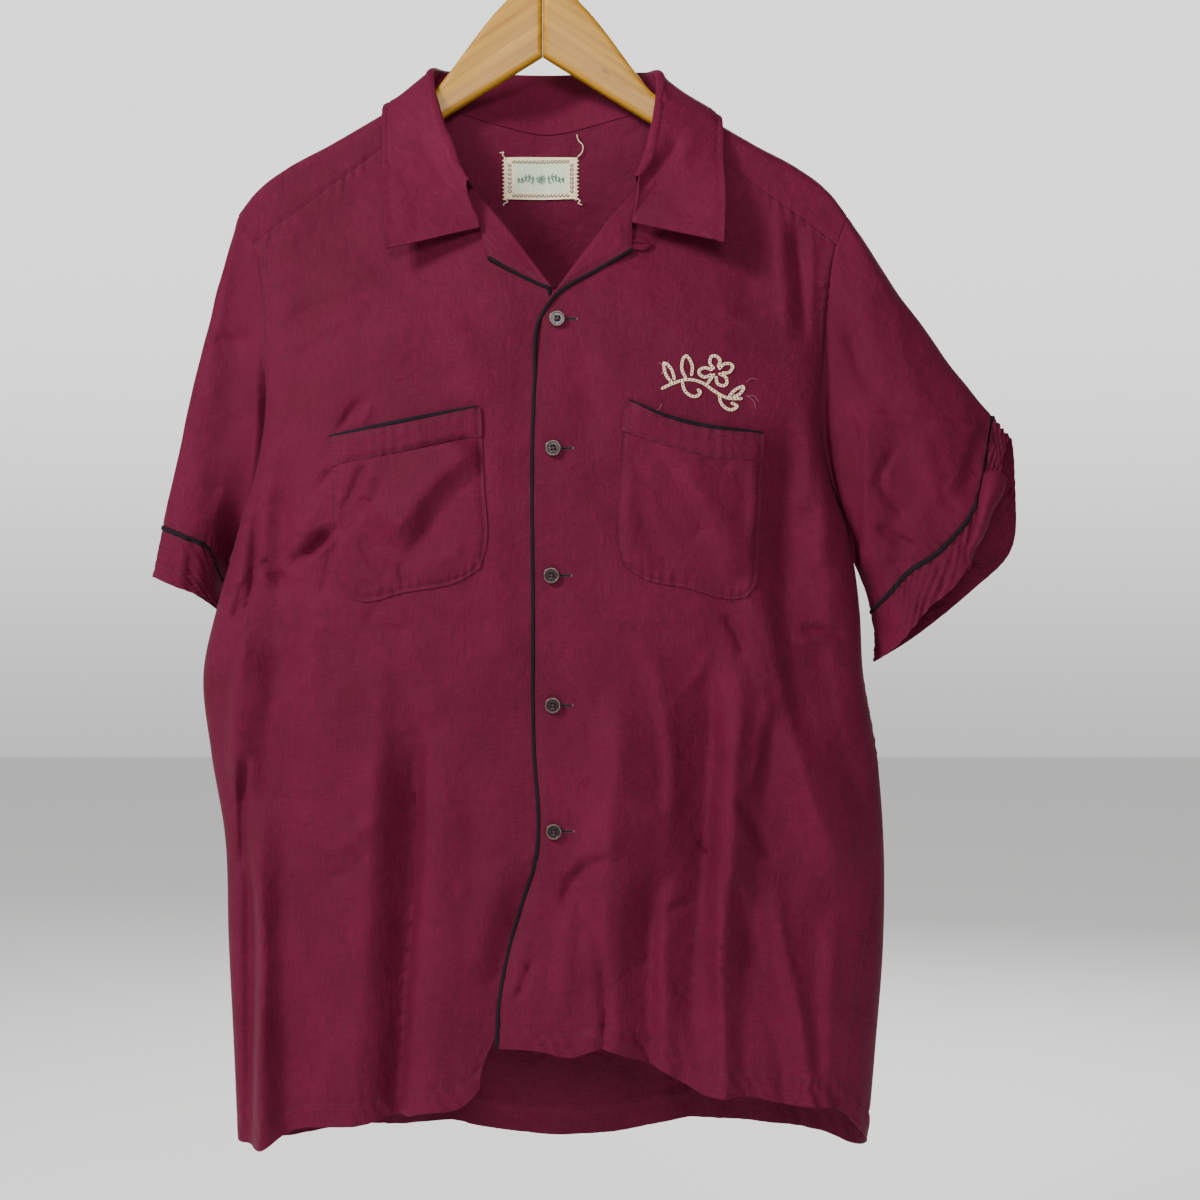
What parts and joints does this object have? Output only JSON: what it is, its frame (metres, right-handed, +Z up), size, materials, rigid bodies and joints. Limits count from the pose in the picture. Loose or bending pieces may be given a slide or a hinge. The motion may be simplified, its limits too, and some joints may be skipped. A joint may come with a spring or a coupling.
{
  "type": "short-sleeved bowling shirt on a wooden hanger",
  "caption": "Short-sleeved button-front shirt with open notched collar, patch pockets, piped edges and cuffs, hanging open-hemmed on a flat wooden hanger with a wire hook.",
  "frame": {"origin": "inside top of the hanger's hook, where it hangs on a rail", "axes": "+Z up; the shirt's front faces -Y; +X to the right as seen from the front, the wearer's left"},
  "size_m": [0.6461, 0.185, 0.9383],
  "materials": {
    "cloth": "matte",
    "piping": "satin",
    "label": "matte",
    "button": "gloss",
    "wood": "satin",
    "wire": "satin"
  },
  "bodies": {
    "root": {"back": "cloth", "button_1": "button", "button_2": "button", "button_3": "button", "button_4": "button", "button_5": "button", "collar": "cloth", "cuff_left": "cloth", "cuff_right": "cloth", "front_left": "cloth", "front_right": "cloth", "hanger_arm_left": "wood", "hanger_arm_right": "wood", "hanger_hook": "wire", "lapel_left": "cloth", "lapel_right": "cloth", "loop_tab": "cloth", "neck_label": "label", "piping_cuff_left": "piping", "piping_cuff_right": "piping", "piping_front": "piping", "piping_lapel_left": "piping", "piping_lapel_right": "piping", "piping_pocket_left": "piping", "piping_pocket_right": "piping", "pocket_band_left": "cloth", "pocket_band_right": "cloth", "pocket_left": "cloth", "pocket_right": "cloth", "sleeve_left": "cloth", "sleeve_right": "cloth", "yoke": "cloth"}
  },
  "joints": []
}
